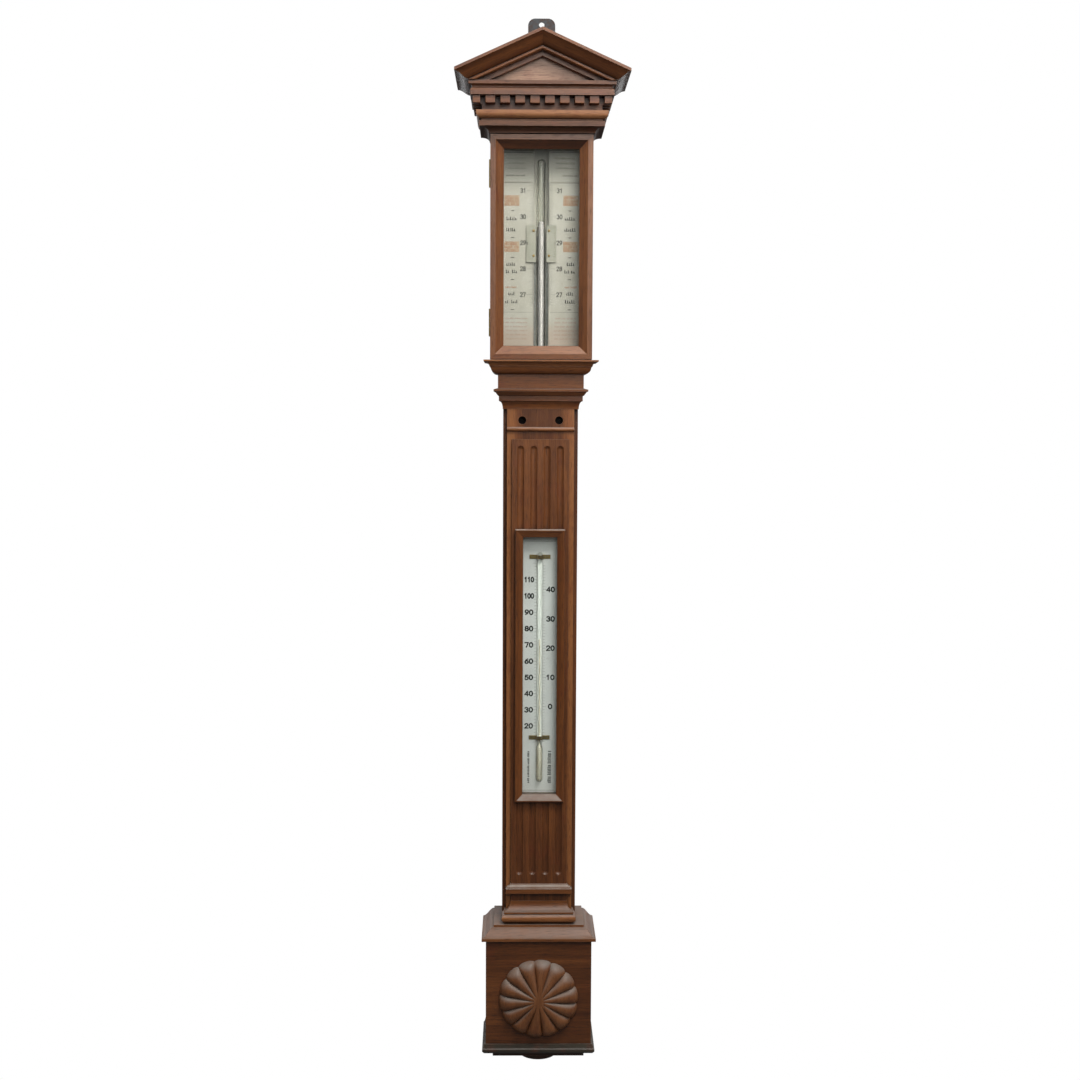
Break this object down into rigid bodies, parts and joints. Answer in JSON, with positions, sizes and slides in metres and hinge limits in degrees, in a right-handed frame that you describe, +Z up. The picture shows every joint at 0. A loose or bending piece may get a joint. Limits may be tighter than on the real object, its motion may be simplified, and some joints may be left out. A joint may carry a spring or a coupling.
{
  "type": "stick barometer",
  "caption": "Tall wooden wall barometer: pedimented glazed head with register plates and geared verniers, fluted trunk with an inset thermometer, and a boxed base with a carved rosette.",
  "frame": {"origin": "centre of the hanging hole of the iron plate, on the wall plane", "axes": "+Z up along the tube, -Y from the wall towards the viewer, +X to the viewer's right"},
  "size_m": [0.1674, 0.0897, 1.0535],
  "materials": {
    "case_wood": "old french polish",
    "dark_wood": "old stain",
    "boxwood": "turned, oiled",
    "scale_plate": "old varnished card",
    "thermometer_plate": "opal glass",
    "glass": "clear",
    "mercury": "liquid metal",
    "brass": "aged",
    "steel": "plain",
    "iron": "blackened",
    "leather": "matt"
  },
  "bodies": {
    "case": {"bed_moulding": "case_wood", "dentil_course": "case_wood", "corona": "case_wood", "tympanum": "case_wood", "raking_bed_mouldings": "case_wood", "raking_crown": "case_wood", "eaves_crown": "case_wood", "neck_block": "case_wood", "neck_moulding_upper": "case_wood", "neck_moulding_lower": "case_wood", "trunk_front": "case_wood", "fluted_panel": "case_wood", "astragal_upper": "case_wood", "astragal_lower": "case_wood", "pilaster_base": "case_wood", "base_front": "case_wood", "base_cap": "case_wood", "plinth_moulding": "case_wood", "patera": "case_wood", "thermometer_frame": "case_wood", "head_sides": "case_wood", "trunk_sides": "case_wood", "base_sides": "case_wood", "backboard": "dark_wood", "entablature_block": "dark_wood", "roof_boards": "dark_wood", "base_floor": "dark_wood", "plate_backing": "dark_wood", "cistern_lid": "boxwood", "cistern_body": "boxwood", "cistern_base": "boxwood", "register_plate_left": "scale_plate", "register_plate_right": "scale_plate", "thermometer_scale": "thermometer_plate", "barometer_tube": "glass", "thermometer_glass": "glass", "thermometer_tube": "glass", "mercury_column": "mercury", "cistern_mercury": "mercury", "hinge_leaves_case": "brass", "pinion_bearings": "brass", "key_bushes": "brass", "rack_guides": "brass", "thermometer_clips": "brass", "hinge_pins": "steel", "hanger_screws": "steel", "hanger_plate": "iron", "leather_bag": "leather"},
    "door": {"door_frame": "case_wood", "door_glass": "glass", "door_glazing_bead": "case_wood", "hinge_leaves_door": "brass"},
    "vernier_left_slider": {"vernier_left": "scale_plate", "rack_left": "brass"},
    "vernier_right_slider": {"vernier_right": "scale_plate", "rack_right": "brass"},
    "pinion_left_arbor": {"pinion_left": "steel"},
    "pinion_right_arbor": {"pinion_right": "steel"},
    "screw_pad": {"pressure_pad": "boxwood"},
    "screw": {"portable_screw": "brass"}
  },
  "joints": [
    {"name": "door_swing", "type": "hinge", "parent": "case", "child": "door", "pos_m": [-0.05, -0.04415, -0.2], "axis": [0, 0, -1], "range_deg": [0, 105]},
    {"name": "vernier_left_slide", "type": "slide", "parent": "case", "child": "vernier_left_slider", "axis": [0, 0, 1], "range_m": [-0.068, 0.04]},
    {"name": "pinion_left_turn", "type": "hinge", "parent": "case", "child": "pinion_left_arbor", "pos_m": [-0.0182, -0.03, -0.39292], "axis": [0, -1, 0], "range_deg": [-1085, 640]},
    {"name": "vernier_right_slide", "type": "slide", "parent": "case", "child": "vernier_right_slider", "axis": [0, 0, 1], "range_m": [-0.068, 0.04]},
    {"name": "pinion_right_turn", "type": "hinge", "parent": "case", "child": "pinion_right_arbor", "pos_m": [0.0182, -0.03, -0.39292], "axis": [0, 1, 0], "range_deg": [-1085, 640]},
    {"name": "pad_lift", "type": "slide", "parent": "case", "child": "screw_pad", "axis": [0, 0, 1], "range_m": [0, 0.008], "deforming": ["leather_bag"]},
    {"name": "screw_turn", "type": "hinge", "parent": "screw_pad", "child": "screw", "pos_m": [0, -0.028, -1.02902], "axis": [0, 0, 1], "range_deg": [0, 2881]}
  ],
  "couplings": [
    {"joint": "pinion_left_turn", "follows": "vernier_left_slide", "rad_per_m": 277.78},
    {"joint": "pinion_right_turn", "follows": "vernier_right_slide", "rad_per_m": 277.78},
    {"joint": "screw_turn", "follows": "pad_lift", "rad_per_m": 6283.2}
  ]
}
